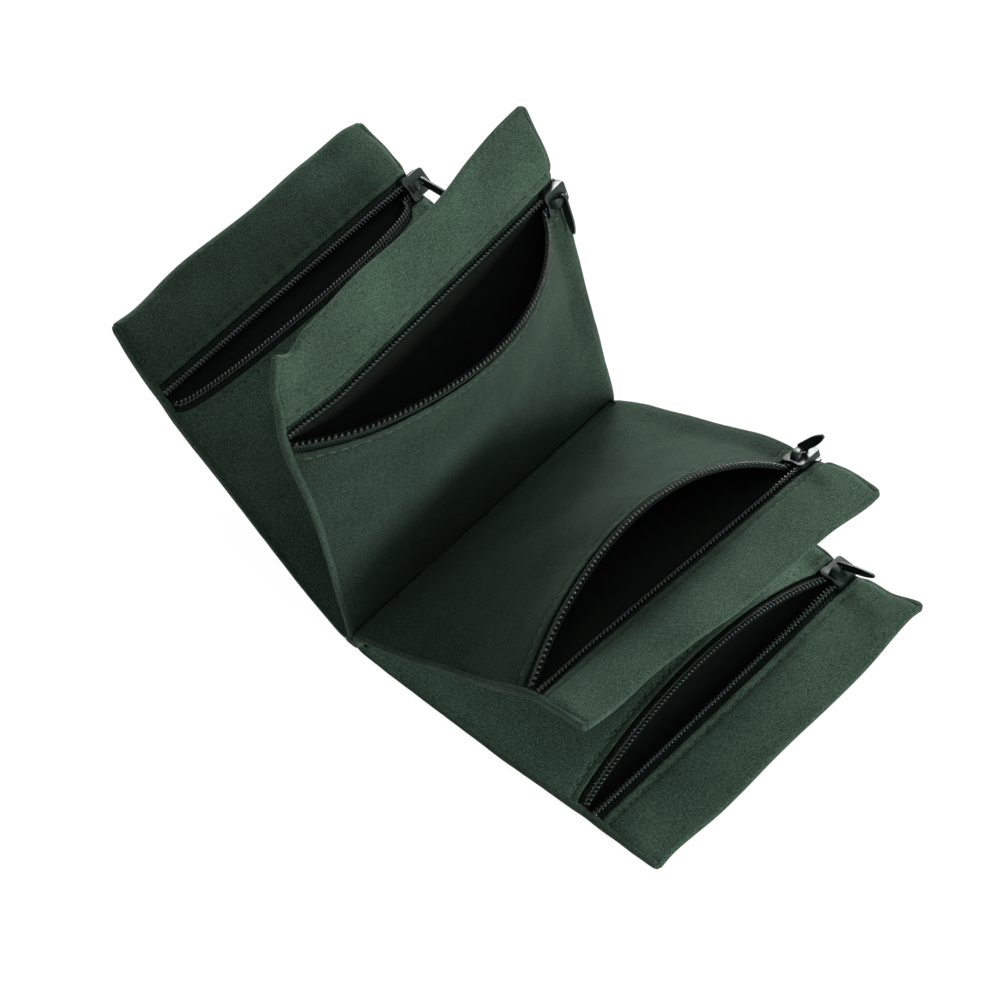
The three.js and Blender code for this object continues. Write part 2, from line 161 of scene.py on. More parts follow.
def smooth(value, low, high):
    t = clamp((value - low) / (high - low), 0.0, 1.0)
    return t * t * (3 - 2 * t)


def spread(low, high, count):
    return [mix(low, high, i / count) for i in range(count + 1)]


def zipLine(wing):
    return wing["reach"] - pouch["hemWidth"]


# Point and front normal of a wing's flat sheet, before the wing leans.
def sheetAt(wing, x, s):
    bend = math.radians(wing["curl"]) / wing["reach"]
    ends = []
    for start in (math.radians(wing["twist"]), -math.radians(wing["twist"])):
        angle = start + bend * s
        if bend:
            y = (math.sin(angle) - math.sin(start)) / bend
            z = (math.cos(start) - math.cos(angle)) / bend
        else:
            y = s * math.cos(start)
            z = s * math.sin(start)
        ends.append((y, z, angle))
    near, far = ends
    width = 2 * pouch["halfSpine"]
    t = (pouch["halfSpine"] - x) / width
    y, z, angle = (mix(far[i], near[i], t) for i in range(3))
    along = Vector((width, far[0] - near[0], far[1] - near[1])).normalized()
    out = Vector((0, math.cos(angle), math.sin(angle)))
    return Vector((x, y, z)), along.cross(out).normalized()


def toWorld(wing, point):
    lean = math.radians(wing["lean"])
    y = point.y * math.cos(lean) - point.z * math.sin(lean) + wing["hinge"][0]
    z = point.y * math.sin(lean) + point.z * math.cos(lean) + wing["hinge"][1]
    return Vector((point.x, wing["side"] * y, z)) * millimetre


# Value at x of a row of (x, value) pairs, eased from one to the next.
def eased(pairs, x):
    for (x0, v0), (x1, v1) in zip(pairs, pairs[1:]):
        if x <= x1:
            return mix(v0, v1, smooth(x, x0, x1))
    return pairs[-1][1]


clothStray = {
    "broad": 1.5,  # soft folds, off the sheet
    "broadLength": 33.0,
    "broadWidth": 27.0,
    "broadFrom": (2.0, 22.0),  # from the spine out, they grow over this
    "fine": 0.3,  # small unevenness
    "fineLength": 11.0,
    "fineFrom": (2.0, 8.0),
    "lyingShare": 0.4,  # of the folds, on the wing that lies flat
    "sideBow": 0.5,  # wander of the side edges
    "sideWidth": 25.0,
    "sideLength": 80.0,
    "sideFrom": (0.0, 20.0),
    "pinch": 0.4,  # the zip's sewn ends pull the side seams in
    "pinchLength": 5.0,
    "zipKept": (5.0, 20.0),  # the cloth is straight this near to the zip, and free this far off
    "endFrom": 8.0,  # a side edge's stray begins this far from the spine's middle
    "freeZip": 38.0,  # past the slider's travel the zip may stray with its near edge
    "bendShare": (0.5, 0.5, 0.14),  # of a corner's stray half way to it
}


# How a side edge's cloth strays at s: along the spine, out and off the sheet. Half way from the
# zip to the corner it has little of the corner's stray yet, which leaves room for the pull tab.
def edgeStray(wing, end, s):
    line = zipLine(wing)
    middle, atZip, corner = wing[end]
    bend = [mix(a, b, look) for a, b, look in zip(atZip, corner, clothStray["bendShare"])]
    places = (0, line / 2, line, (line + wing["reach"]) / 2, wing["reach"])
    stations = ((0, 0, 0), middle, atZip, bend, corner)
    return [eased([(at, v[i]) for at, v in zip(places, stations)], s) for i in range(3)]


# How far the soft cloth strays along the spine, out over the wing and off the flat sheet. The
# zip stays straight for its slider.
def stray(wing, x, s):
    line = zipLine(wing)
    half = pouch["halfSpine"]
    look = clothStray
    seed = wing["seed"]
    kept, free = look["zipKept"]
    away = smooth(abs(s - line), kept, free)
    broad = noise.noise(Vector((x / look["broadLength"], s / look["broadWidth"], seed)))
    fine = noise.noise(Vector((x, s, seed * 9)) / look["fineLength"])
    wave = look["broad"] * broad * smooth(s, *look["broadFrom"])
    wave += look["fine"] * fine * smooth(s, *look["fineFrom"])
    if wing["lean"] == 0:
        wave = look["lyingShare"] * abs(wave)
    wander = noise.noise(Vector((s / look["sideWidth"], x / look["sideLength"], seed + 9)))
    pinch = look["pinch"] * math.exp(-(((s - line) / look["pinchLength"]) ** 2))
    along = away * look["sideBow"] * wander * smooth(s, *look["sideFrom"])
    further = smooth(s, line + kept, wing["reach"]) * eased(wing["edge"], x)
    off = away * wave
    for end, toEnd in (("near", -x), ("far", x)):
        share = smooth(toEnd, look["endFrom"], half)
        held = mix(smooth(toEnd, look["freeZip"], half), share, away)
        edgeAlong, edgeOut, edgeOff = edgeStray(wing, end, s)
        inward = pinch if end == "near" else -pinch
        along += share * edgeAlong + share ** 4 * inward
        further += held * edgeOut
        off += held * edgeOff
    return along, further, off


def onSheet(wing, x, s, n):
    along, further, off = stray(wing, x, s)
    point, normal = sheetAt(wing, x, s + further)
    point = point + normal * (n + off)
    point.x += along
    return toWorld(wing, point)


# How far the mouth is open at x, from 0 at its ends to 1 where it is widest.
def gape(wing, x):
    t = clamp((x - zipper["mouthNear"]) / (zipper["mouthFar"] - zipper["mouthNear"]), 0, 1)
    rise, fall = wing["rise"], wing["fall"]
    widest = rise / (rise + fall)
    peak = widest ** rise * (1 - widest) ** fall
    return t ** rise * (1 - t) ** fall / peak


def onPanel(wing, x, s, n):
    share = max(s / zipLine(wing), 0) ** pouch["panelPower"]
    open = gape(wing, x)
    drawn = s - wing["draw"] * math.sqrt(open) * share
    return onSheet(wing, x, drawn, n + wing["lift"] * open * share)


# Mesh helpers

mergeDistance = 2e-6  # metres

def deselect():
    if bpy.context.object and bpy.context.object.mode != "OBJECT":
        bpy.ops.object.mode_set(mode="OBJECT")
    bpy.ops.object.select_all(action="DESELECT")


def pick(piece):
    deselect()
    bpy.context.view_layer.objects.active = piece
    piece.select_set(True)


# A grid whose points are placed by column and row.
def gridPiece(name, columns, rows, place):
    deselect()
    bpy.ops.mesh.primitive_grid_add(x_subdivisions=columns, y_subdivisions=rows, size=2)
    piece = bpy.context.object
    piece.name = piece.data.name = name
    for vertex in piece.data.vertices:
        column = round((vertex.co.x + 1) / 2 * columns)
        row = round((vertex.co.y + 1) / 2 * rows)
        vertex.co = place(column, row)
    return piece


# Merges points that lie on each other and turns the faces out.
def tidyMesh(piece):
    pick(piece)
    bpy.ops.object.mode_set(mode="EDIT")
    bpy.ops.mesh.select_all(action="SELECT")
    bpy.ops.mesh.remove_doubles(threshold=mergeDistance)
    bpy.ops.mesh.normals_make_consistent(inside=False)
    bpy.ops.object.mode_set(mode="OBJECT")


# Adds a modifier and applies it.
def modify(piece, kind, **settings):
    modifier = piece.modifiers.new(kind.lower(), kind)
    for key, value in settings.items():
        setattr(modifier, key, value)
    pick(piece)
    bpy.ops.object.modifier_apply(modifier=modifier.name)


# Shades a piece smooth, or only its edges flatter than angle.
def smoothShade(piece, angle=None):
    pick(piece)
    if angle is None:
        bpy.ops.object.shade_smooth()
    else:
        bpy.ops.object.shade_smooth_by_angle(angle=math.radians(angle))


# Hangs a piece on the body it rides and hides the CAD nodes it replaces.
def dress(piece, slot, body, *nodes):
    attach(piece, body)
    if nodes:
        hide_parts(*nodes)
    return piece


# Materials


# sRGB hex to the linear colour that the shader takes.
def colour(hexCode):
    linear = []
    for i in (1, 3, 5):
        value = int(hexCode[i : i + 2], 16) / 255
        linear.append(value / 12.92 if value <= 0.04045 else ((value + 0.055) / 1.055) ** 2.4)
    return (*linear, 1.0)


def newMaterial(name):
    material = bpy.data.materials.new(name)
    material.use_nodes = True
    tree = material.node_tree
    return material, tree, tree.nodes["Principled BSDF"]


def addNode(tree, kind, settings=None, links=None):
    node = tree.nodes.new(kind)
    for key, value in (settings or {}).items():
        if key in node.inputs:
            node.inputs[key].default_value = value
        else:
            setattr(node, key, value)
    for key, socket in (links or {}).items():
        tree.links.new(socket, node.inputs[key])
    return node


def setShader(shader, settings):
    for key, value in settings.items():
        shader.inputs[key].default_value = value


# How the pile shows: sizes in millimetres, and each one's share
pileLook = {
    "patches": 26.0,  # brushed this way and that
    "fibres": 0.52,  # drawn coarser than the real pile, which is too fine to show
    "tufts": 1.4,  # clumps of pile
    "tuftShare": 0.3,  # of the tufts over the patches
    "fibreShare": 0.76,  # of the fibres over both
    "deepAt": 0.4,
    "paleAt": 0.6,
    "fibreRelief": 0.8,
    "tuftRelief": 0.2,
    "relief": 0.4,  # height of the pile
}


# Brushed polyester microsuede: a matt pile that lies in soft patches, paler where it is seen
# along its fibres
def microSuede(name, deep, middle, pale, sheen):
    material, tree, shader = newMaterial(name)
    place = addNode(tree, "ShaderNodeTexCoord").outputs["Object"]
    patches, fibres, tufts = (
        addNode(
            tree,
            "ShaderNodeTexNoise",
            {
                "Scale": 1 / (pileLook[size] * millimetre),
                "Detail": 3.0,
                "Roughness": roughness,
            },
            {"Vector": place},
        )
        for size, roughness in (("patches", 0.5), ("fibres", 0.85), ("tufts", 0.75))
    )
    nap = addNode(
        tree,
        "ShaderNodeMix",
        {"data_type": "FLOAT", "Factor": pileLook["tuftShare"]},
        {"A": patches.outputs["Fac"], "B": tufts.outputs["Fac"]},
    )
    speckle = addNode(
        tree,
        "ShaderNodeMix",
        {"data_type": "FLOAT", "Factor": pileLook["fibreShare"]},
        {"A": nap.outputs["Result"], "B": fibres.outputs["Fac"]},
    )
    ramp = addNode(tree, "ShaderNodeValToRGB", None, {"Fac": speckle.outputs["Result"]})
    ramp.color_ramp.elements[0].position = pileLook["deepAt"]
    ramp.color_ramp.elements[0].color = colour(deep)
    ramp.color_ramp.elements[1].position = pileLook["paleAt"]
    ramp.color_ramp.elements[1].color = colour(pale)
    centre = ramp.color_ramp.elements.new(0.5)
    centre.color = colour(middle)
    tree.links.new(ramp.outputs["Color"], shader.inputs["Base Color"])
    pile = addNode(
        tree,
        "ShaderNodeBump",
        {"Strength": pileLook["fibreRelief"], "Distance": pileLook["relief"] * millimetre},
        {"Height": fibres.outputs["Fac"]},
    )
    clumps = addNode(
        tree,
        "ShaderNodeBump",
        {"Strength": pileLook["tuftRelief"], "Distance": pileLook["relief"] * millimetre},
        {"Height": tufts.outputs["Fac"], "Normal": pile.outputs["Normal"]},
    )
    tree.links.new(clumps.outputs["Normal"], shader.inputs["Normal"])
    setShader(
        shader,
        {
            "Roughness": 0.95,
            "Specular IOR Level": 0.12,
            "Sheen Weight": sheen,
            "Sheen Roughness": 0.5,
            "Sheen Tint": colour("#8fa896"),
        },
    )
    return material


# Woven polyester zip tape: a fine close twill, nearly black-green and a little shiny.
def wovenTape():
    material, tree, shader = newMaterial("woven polyester tape")
    place = addNode(tree, "ShaderNodeTexCoord").outputs["Object"]
    turned = addNode(
        tree, "ShaderNodeMapping", {"Rotation": (0.3, 0.2, math.radians(38))}, {"Vector": place}
    )
    twill = addNode(
        tree,
        "ShaderNodeTexWave",
        {"Scale": 1 / 0.0028, "Distortion": 1.0, "Detail": 2.0, "Detail Scale": 3.0},  # 0.7 mm ribs
        {"Vector": turned.outputs["Vector"]},
    )
    ramp = addNode(tree, "ShaderNodeValToRGB", None, {"Fac": twill.outputs["Fac"]})
    ramp.color_ramp.elements[0].color = colour("#070e0b")
    ramp.color_ramp.elements[1].color = colour("#16261e")
    tree.links.new(ramp.outputs["Color"], shader.inputs["Base Color"])
    ribs = addNode(
        tree,
        "ShaderNodeBump",
        {"Strength": 0.6, "Distance": 0.0003},
        {"Height": twill.outputs["Fac"]},
    )
    tree.links.new(ribs.outputs["Normal"], shader.inputs["Normal"])
    setShader(shader, {"Roughness": 0.85, "Specular IOR Level": 0.12})
    return material


# Dyed nylon monofilament: smooth, dense and glossy, so each turn carries a small highlight.
def nylonCoil():
    material, tree, shader = newMaterial("nylon monofilament")
    place = addNode(tree, "ShaderNodeTexCoord").outputs["Object"]
    cloud = addNode(
        tree, "ShaderNodeTexNoise", {"Scale": 1 / 0.003, "Detail": 2.0}, {"Vector": place}
    )
    ramp = addNode(tree, "ShaderNodeValToRGB", None, {"Fac": cloud.outputs["Fac"]})
    ramp.color_ramp.elements[0].color = colour("#07110d")
    ramp.color_ramp.elements[1].color = colour("#12211a")
    tree.links.new(ramp.outputs["Color"], shader.inputs["Base Color"])
    setShader(shader, {"Roughness": 0.2, "IOR": 1.53, "Specular IOR Level": 0.4})
    return material


# Spun polyester sewing thread: twisted, with a dull lustre on its crown.
def sewingThread(name, deep, pale):
    material, tree, shader = newMaterial(name)
    place = addNode(tree, "ShaderNodeTexCoord").outputs["Object"]
    twist = addNode(
        tree,
        "ShaderNodeTexNoise",
        {"Scale": 1 / 0.0005, "Detail": 1.0},
        {"Vector": place},
    )
    ramp = addNode(tree, "ShaderNodeValToRGB", None, {"Fac": twist.outputs["Fac"]})
    ramp.color_ramp.elements[0].color = colour(deep)
    ramp.color_ramp.elements[1].color = colour(pale)
    tree.links.new(ramp.outputs["Color"], shader.inputs["Base Color"])
    setShader(shader, {"Roughness": 0.6, "Specular IOR Level": 0.25, "Sheen Weight": 0.1})
    return material


# Die-cast zinc under dark green stoving enamel: a hard glossy skin that thins on the edges.
def enamelledZinc():
    material, tree, shader = newMaterial("enamelled zinc")
    place = addNode(tree, "ShaderNodeTexCoord").outputs["Object"]
    cast = addNode(
        tree, "ShaderNodeTexNoise", {"Scale": 1 / 0.0012, "Detail": 3.0}, {"Vector": place}
    )
    ramp = addNode(tree, "ShaderNodeValToRGB", None, {"Fac": cast.outputs["Fac"]})
    ramp.color_ramp.elements[0].position = 0.3
    ramp.color_ramp.elements[0].color = colour("#0f1a16")
    ramp.color_ramp.elements[1].position = 0.7
    ramp.color_ramp.elements[1].color = colour("#1d2e28")
    tree.links.new(ramp.outputs["Color"], shader.inputs["Base Color"])
    skin = addNode(
        tree,
        "ShaderNodeBump",
        {"Strength": 0.12, "Distance": 0.0001},
        {"Height": cast.outputs["Fac"]},
    )
    tree.links.new(skin.outputs["Normal"], shader.inputs["Normal"])
    setShader(shader, {"Metallic": 0.15, "Roughness": 0.3, "Specular IOR Level": 0.38})
    return material


# Copies of the suede for the panels: darkened as painted shade on the leaves, paled as painted
# light on the covers.
suede = microSuede("brushed microsuede", "#1d2c22", "#33463a", "#4b6252", 0.3)
shadedLeafSuede = microSuede("microsuede darkened with painted shade", "#151f18", "#243329", "#394d40", 0.2)
litCoverSuede = microSuede("microsuede paled with painted light", "#25352b", "#3c5144", "#56705e", 0.3)
# The suede's back: partly its own dark backing, partly painted shade for the inside of the pocket.
shadedReverse = microSuede("microsuede reverse", "#0b0f0d", "#0f1411", "#141a16", 0.03)
tapeCloth = wovenTape()
nylon = nylonCoil()
# Pale thread for the panel rows: its paleness is painted light, as the hem rows carry the same
# thread.
thread = sewingThread("polyester topstitching thread paled with painted light", "#2b4034", "#557061")
coilThread = sewingThread("polyester coil thread", "#0b1510", "#1f3026")
# Near-black for the discs of painted shade in the needle holes.
needleHoleShade = sewingThread("painted shade in a needle hole", "#0a130e", "#101d16")
enamel = enamelledZinc()
print("materials made")


# Cloth

clothMesh = {
    "columnStep": 1.8,
    "endColumns": (0.7, 1.4),  # more columns this far in from the cloth's ends
    "rowStep": 2.0,
    "grooveRows": (-1.6, -0.9, -0.45, 0, 0.45, 0.9, 1.6),  # more rows round the stitching
    "grooveClear": 2.2,  # and no others this near to it
    "foldSteps": 8,
    "grooveDepth": 0.34,  # of the topstitching
    "grooveWidth": 0.9,
    "pucker": 0.2,
    "puckerPitch": 6.2,
    "puckerWidth": 5.0,
    "puckerDrift": 9.0,  # length over which the pitch wanders
    "pillow": 0.75,  # how far the hem swells between fold and stitching
    "creaseDepth": 0.9,  # where the sheet goes down into the side seam
    "creaseWidth": 1.9,
    "creaseFrom": (2.0, 20.0),  # from the spine out, the crease deepens over this
    "rootGap": 0.02,  # between the plies at the spine
}


# Places along the spine for a sheet's columns, in the order that turns its face to the side
# that shows.
def acrossWing(facing):
    half = pouch["clothHalf"]
    columns = spread(-half, half, round(2 * half / clothMesh["columnStep"]))
    close = [half - inset for inset in clothMesh["endColumns"]]
    columns = sorted(columns + close + [-x for x in close])
    return columns if facing > 0 else columns[::-1]


# How deep the sheet lies at x on its way into the side seam.
def crease(x):
    half = pouch["clothHalf"]
    return clothMesh["creaseDepth"] * smooth(abs(x), half - clothMesh["creaseWidth"], half)


# The dip and the small puckers that a row of topstitching pulls into the suede.
def stitched(s, stitchAt, x, seed):
    far = (s - stitchAt) / clothMesh["grooveWidth"]
    groove = -clothMesh["grooveDepth"] * math.exp(-far * far)
    wide = (s - stitchAt) / clothMesh["puckerWidth"]
    drift = noise.noise(Vector((x / clothMesh["puckerDrift"], seed, 0)))
    phase = x / clothMesh["puckerPitch"] + drift
    return groove + clothMesh["pucker"] * math.sin(2 * math.pi * phase) * math.exp(-wide * wide)


# Rows from low to high at the cloth's step, with more of them round the stitching at extra.
def rowsBetween(low, high, extra):
    rows = spread(low, high, round((high - low) / clothMesh["rowStep"]))
    clear = clothMesh["grooveClear"]
    rows = [s for s in rows if abs(s - extra) > clear or s in (low, high)]
    rows += [extra + offset for offset in clothMesh["grooveRows"]]
    return sorted(s for s in rows if low <= s <= high)


# Middle of the front ply over the back one.
def frontLevel(wing, s):
    root = pouch["panelRoot"]
    overTape = zipLine(wing) - zipper["tapeHeld"]
    share = clamp((s - root) / (overTape - root), 0, 1)
    return mix(pouch["ply"] + clothMesh["rootGap"], zipper["clothLevel"], share)


# Rows of the back sheet as (s, n, which part): out from the spine, round the fold and back.
def hemProfile(wing):
    radius = pouch["foldRadius"]
    foldStart = wing["reach"] - radius
    edge = zipLine(wing) + zipper["clothEdge"]
    stitchAt = edge + zipper["stitchIn"]
    rows = [(s, 0.0, "back") for s in spread(0, foldStart, round(foldStart / clothMesh["rowStep"]))]
    for angle in spread(-90, 90, clothMesh["foldSteps"])[1:-1]:
        turn = math.radians(angle)
        rows.append((foldStart + radius * math.cos(turn), radius + radius * math.sin(turn), "fold"))
    for s in reversed(rowsBetween(edge, foldStart, stitchAt)):
        t = clamp((foldStart - s) / (foldStart - stitchAt), 0, 1)
        level = mix(2 * radius, zipper["clothLevel"], smooth(t, 0, 1))
        pillow = clothMesh["pillow"] * math.sin(math.pi * t)
        rows.append((s, level + pillow, "hem"))
    rows.append((edge - zipper["lip"], zipper["clothLevel"] - zipper["lipDrop"], "lip"))
    return rows


# The back ply with its hem, one sheet from the spine round the folded edge to the zip.
def backCloth(wing):
    columns = acrossWing(-wing["side"])
    profile = hemProfile(wing)
    stitchAt = zipLine(wing) + zipper["clothEdge"] + zipper["stitchIn"]

    def place(column, row):
        x = columns[column]
        s, n, part = profile[row]
        if part in ("hem", "lip"):
            n += stitched(s, stitchAt, x, wing["seed"])
            n -= crease(x)
        return onSheet(wing, x, s, n)

    piece = gridPiece(wing["name"] + "_back_cloth", len(columns) - 1, len(profile) - 1, place)
    length = sum(
        math.hypot(b[0] - a[0], b[1] - a[1]) for a, b in zip(profile, profile[1:])
    )
    finishCloth(piece, suede)
    dress(piece, "suede", wing["name"], wing["name"] + "_back")


# The front ply from the spine to the zip, which gapes.
def panelCloth(wing):
    columns = acrossWing(wing["side"])
    edge = zipLine(wing) - zipper["clothEdge"]
    stitchAt = edge - zipper["stitchIn"]
    rows = rowsBetween(pouch["panelRoot"], edge, stitchAt) + [edge + zipper["lip"]]

    def place(column, row):
        x = columns[column]
        s = rows[row]
        n = frontLevel(wing, min(s, edge)) + stitched(s, stitchAt, x, wing["seed"] + 2)
        n -= zipper["lipDrop"] if s > edge else 0
        n -= crease(x) * smooth(s, *clothMesh["creaseFrom"])
        return onPanel(wing, x, s, n)

    piece = gridPiece(wing["name"] + "_panel_cloth", len(columns) - 1, len(rows) - 1, place)
    # The leaves' panels take the suede darkened with painted shade, the covers' the one paled with
    # painted light.
    finishCloth(piece, shadedLeafSuede if wing["name"].startswith("leaf") else litCoverSuede)
    dress(piece, "suede", wing["name"], wing["name"] + "_front_panel")


# Gives the sheet its thickness, with the suede's back on the pocket's side, darkened past its own
# colour with painted shade.
def finishCloth(piece, face):
    piece.data.materials.append(face)
    piece.data.materials.append(shadedReverse)
    modify(
        piece,
        "SOLIDIFY",
        thickness=pouch["ply"] * millimetre,
        offset=0.0,
        material_offset=1,
        material_offset_rim=0,
    )
    modify(piece, "SUBSURF", levels=1, render_levels=1)
    smoothShade(piece)


# Rolled seams

seamRoll = {
    "around": 16,
    "step": 2.2,
    "rootAt": -1.2,
    "rootRound": 2.6,
    "rootShare": 0.04,  # least share of its section, squared, that the roll keeps at the spine
    "inset": 0.1,  # from the folded edge
    "cornerStations": (1.4, 0.7, 0.3, 0.05),
    "cornerRound": 2.2,
    "cornerHeight": 0.55,
    "cornerFold": 22.0,  # the front ply comes down to the fold over this
    "sunk": 0.75,  # of the crease's depth that the roll follows
    "wobble": 0.13,
    "wobbleLength": 3.0,
    "dip": 4.6,  # half the length of the flat place under the parked slider
    "dipSlope": 2.2,
    "dipTop": 0.6,
}


# One side seam: both plies turned in and rolled, from the spine to the folded corner.
def sideRoll(wing, end):
    side = "_far" if end > 0 else "_near"
    stop = wing["reach"] - seamRoll["inset"]
    stations = spread(seamRoll["rootAt"], stop, round(stop / seamRoll["step"]))
    stations += [stop - inset for inset in seamRoll["cornerStations"]]
    stations = [stations[0]] + sorted(stations)
    last = len(stations) - 1
    half = pouch["seamWidth"] / 2
    centre = pouch["halfSpine"] - half

    def place(column, row):
        s = stations[column]
        angle = 2 * math.pi * row / seamRoll["around"]
        top = hemTop(wing, s)
        if end > 0:
            past = abs(s - zipLine(wing))
            level = smooth(past, seamRoll["dip"], seamRoll["dip"] + seamRoll["dipSlope"])
            top = mix(seamRoll["dipTop"], top, level)
        low = -pouch["ply"] / 2
        bend = seamRoll["cornerRound"]
        root = seamRoll["rootRound"]
        shrink = math.sqrt(max(1 - (max(s - stop + bend, 0) / bend) ** 2, 0))
        taper = 1 - (max(stations[0] + root - s, 0) / root) ** 2
        shrink *= math.sqrt(max(taper, seamRoll["rootShare"]))
        closed = 0 if column in (0, last) else 1
        shrink *= closed
        uneven = noise.noise(Vector((s / seamRoll["wobbleLength"], end, wing["seed"])))
        wobble = 1 + seamRoll["wobble"] * uneven
        across = half * shrink * wobble * roundish(math.cos(angle))
        high = (top - low) / 2 * mix(seamRoll["cornerHeight"], 1, shrink) * closed
        n = (top + low) / 2 + high * roundish(math.sin(angle))
        return onSheet(wing, end * (centre + across), s, n)

    piece = gridPiece(wing["name"] + side + "_roll", last, seamRoll["around"], place)
    finishRoll(piece)
    dress(piece, "suede", wing["name"], wing["name"] + side + "_seam")


# Closes a roll's ends and gives it the suede.
def finishRoll(piece):
    tidyMesh(piece)
    piece.data.materials.append(suede)
    modify(piece, "SUBSURF", levels=1, render_levels=1)
    smoothShade(piece)


squareness = 0.72  # 1 leaves a section round


# Squares a round section off a little.
def roundish(value):
    return math.copysign(abs(value) ** squareness, value)


# Top of the front ply at the side seam.
def hemTop(wing, s):
    fold = smooth(s, wing["reach"] - seamRoll["cornerFold"], wing["reach"])
    sunk = seamRoll["sunk"] * clothMesh["creaseDepth"] * smooth(s, *clothMesh["creaseFrom"])
    return mix(frontLevel(wing, s) - sunk, 2 * pouch["foldRadius"], fold) + pouch["ply"] / 2


spineSeam = {
    "stations": 60,
    "around": 20,
    "middle": (-0.45, 1.9),
    "half": (2.95, 1.85),
    "underCover": 1.5,  # fuller below, where the raised cover wing is sewn on
    "wobble": 0.05,
    "wobbleLength": 5.0,
}


# The sewn folds of cover and leaf on each other.
def spineRoll():
    half = pouch["halfSpine"]
    stations = [-half, *spread(-half, half, spineSeam["stations"]), half]
    middleY, middleZ = spineSeam["middle"]
    halfY, halfZ = spineSeam["half"]

    def place(column, row):
        x = stations[column]
        angle = 2 * math.pi * row / spineSeam["around"]
        shrink = 0 if column in (0, len(stations) - 1) else 1
        uneven = noise.noise(Vector((x / spineSeam["wobbleLength"], 3, 1)))
        wobble = 1 + spineSeam["wobble"] * uneven
        low = spineSeam["underCover"] * max(0, math.cos(angle)) * max(0, -math.sin(angle))
        y = middleY + shrink * (halfY * wobble * roundish(math.cos(angle)) + low)
        z = middleZ + halfZ * shrink * roundish(math.sin(angle))
        return Vector((x, y, z)) * millimetre

    piece = gridPiece("spine_roll", len(stations) - 1, spineSeam["around"], place)
    finishRoll(piece)
    dress(piece, "suede", "cover_right", "spine_seam")


# Zips

coilLook = {
    "pitch": 1.4,
    "inner": 0.75,  # from the zip's centre line
    "outer": 3.0,
    "wire": 0.42,  # radius of the filament
    "back": 0.9,  # how thick it is at the turn's back
    "head": 1.25,  # and at the tooth's head
    "headPower": 3,
    "turn": 12,  # points in a turn
    "nearEnd": 58.4,
    "farEnd": 56.6,
    "threadOut": 0.35,  # from the coil's middle to the thread over it
    "threadRadius": 0.14,
    "threadRise": 0.06,
    "threadSteps": 4,  # in a pitch
    "legInner": 3.2,  # the sewn herringbone beside the coil, low enough for the slider's flanges
    "legOuter": 4.4,
    "legLevel": 2.27,
    "legRadius": 0.13,
}


# Each zip has a hem side, away from the spine, and a panel side.
def sideName(wing, away):
    return wing["name"] + ("_hem" if away > 0 else "_panel")


def rowPlace(away):
    return onSheet if away > 0 else onPanel


# Half of the zip's tape, from the teeth to under the suede.
def tapeSheet(wing, away):
    columns = acrossWing(away * wing["side"])
    reach = spread(zipper["tapeInner"], zipper["tapeOuter"], zipper["tapeRows"])
    put = rowPlace(away)
    line = zipLine(wing)

    def place(column, row):
        return put(wing, columns[column], line + away * reach[row], zipper["tapeLevel"])

    name = sideName(wing, away)
    piece = gridPiece(name + "_tape_cloth", len(columns) - 1, len(reach) - 1, place)
    piece.data.materials.append(tapeCloth)
    modify(piece, "SOLIDIFY", thickness=zipper["tapeThickness"] * millimetre, offset=0.0)
    modify(piece, "SUBSURF", levels=1, render_levels=1)
    smoothShade(piece)
    dress(piece, "zip_tape", wing["name"], name + "_tape")


# A closed tube along points, as a mesh. Sizes says how thick it is at each point.
def tubeThrough(name, points, radius, sides, material, sizes=None):
    data = bpy.data.curves.new(name, "CURVE")
    data.dimensions = "3D"
    data.bevel_depth = radius * millimetre
    data.bevel_resolution = sides
    data.use_fill_caps = True
    spline = data.splines.new("POLY")
    spline.points.add(len(points) - 1)
    for point, place, size in zip(spline.points, points, sizes or [1.0] * len(points)):
        point.co = (*place, 1)
        point.radius = size
    piece = bpy.data.objects.new(name, data)
    bpy.context.collection.objects.link(piece)
    pick(piece)
    bpy.ops.object.convert(target="MESH")
    piece = bpy.context.object
    piece.name = piece.data.name = name
    piece.data.materials.clear()
    piece.data.materials.append(material)
    smoothShade(piece)
    return piece


# Points along a row of teeth, with steps of them in a pitch. Section says how far from the zip's
# line and how high each one lies.
def rowPoints(wing, away, steps, section):
    look = coilLook
    turns = int((look["nearEnd"] + look["farEnd"]) / look["pitch"]) - 1
    shift = 0 if away > 0 else look["pitch"] / 2
    put = rowPlace(away)
    points = []
    for i in range(turns * steps + 1):
        across, n = section(i)
        x = -look["nearEnd"] + shift + look["pitch"] * i / steps
        points.append(put(wing, x, zipLine(wing) + away * across, n))
    return points


